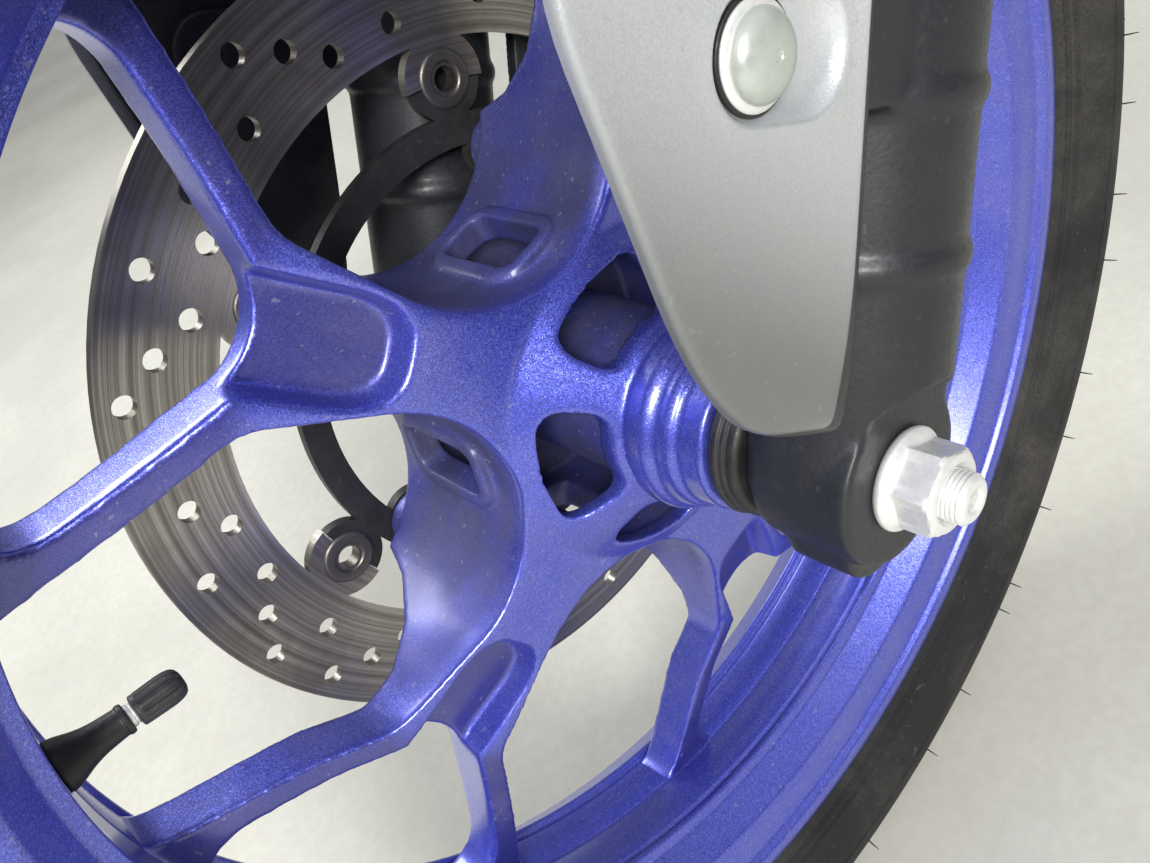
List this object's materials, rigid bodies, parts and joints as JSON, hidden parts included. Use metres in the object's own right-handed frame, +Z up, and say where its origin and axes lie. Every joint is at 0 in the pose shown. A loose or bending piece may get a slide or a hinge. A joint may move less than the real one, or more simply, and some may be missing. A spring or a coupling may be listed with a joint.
{
  "type": "motorcycle front wheel with fork sliders",
  "caption": "Cast motorcycle front wheel with Y-shaped spokes, a drilled floating brake disc and caliper, held by its axle between two fork sliders with side guards and a mudguard.",
  "frame": {"origin": "centre of the left slider's mouth, where its stanchion goes in", "axes": "+X to the front of the motorcycle, +Y to its left along the axle, +Z up"},
  "size_m": [0.586, 0.2595, 0.6288],
  "materials": {
    "wheel_paint": "metallic blue-violet paint",
    "tyre_rubber": "matt black",
    "disc_steel": "turned rings",
    "carrier_black": "black satin",
    "bobbin_steel": "dull",
    "axle_steel": "ground",
    "plated_steel": "zinc plated",
    "seal_rubber": "matt",
    "slider_paint": "charcoal, half gloss",
    "guard_paint": "silver satin",
    "black_plastic": "grained",
    "pad_iron": "rough"
  },
  "bodies": {
    "fork": {"spacer_left": "seal_rubber", "spacer_right": "plated_steel", "axle": "plated_steel", "axle_nut": "plated_steel", "slider_left": "slider_paint", "slider_right": "slider_paint", "dust_seal_left": "seal_rubber", "dust_seal_right": "seal_rubber", "guard_left": "guard_paint", "guard_right": "guard_paint", "guard_bolts_left": "plated_steel", "guard_bolts_right": "plated_steel", "mudguard": "black_plastic", "caliper_bracket": "slider_paint", "caliper_body": "carrier_black", "caliper_pins": "plated_steel", "brake_pad_inner": "pad_iron", "brake_pad_outer": "pad_iron", "bracket_bolts": "plated_steel"},
    "wheel": {"wheel_casting": "wheel_paint", "tyre": "tyre_rubber", "disc_rotor": "disc_steel", "disc_carrier": "carrier_black", "disc_bobbins": "bobbin_steel", "disc_bolts": "bobbin_steel", "bearing_left": "axle_steel", "bearing_right": "axle_steel", "hub_seal_left": "seal_rubber", "hub_seal_right": "seal_rubber", "valve_stem": "seal_rubber", "valve_collar": "plated_steel", "valve_cap": "black_plastic"}
  },
  "joints": [
    {"name": "wheel_spin", "type": "hinge", "parent": "fork", "child": "wheel", "pos_m": [0.14792, -0.095, -0.31721], "axis": [0, 1, 0], "continuous": true}
  ]
}
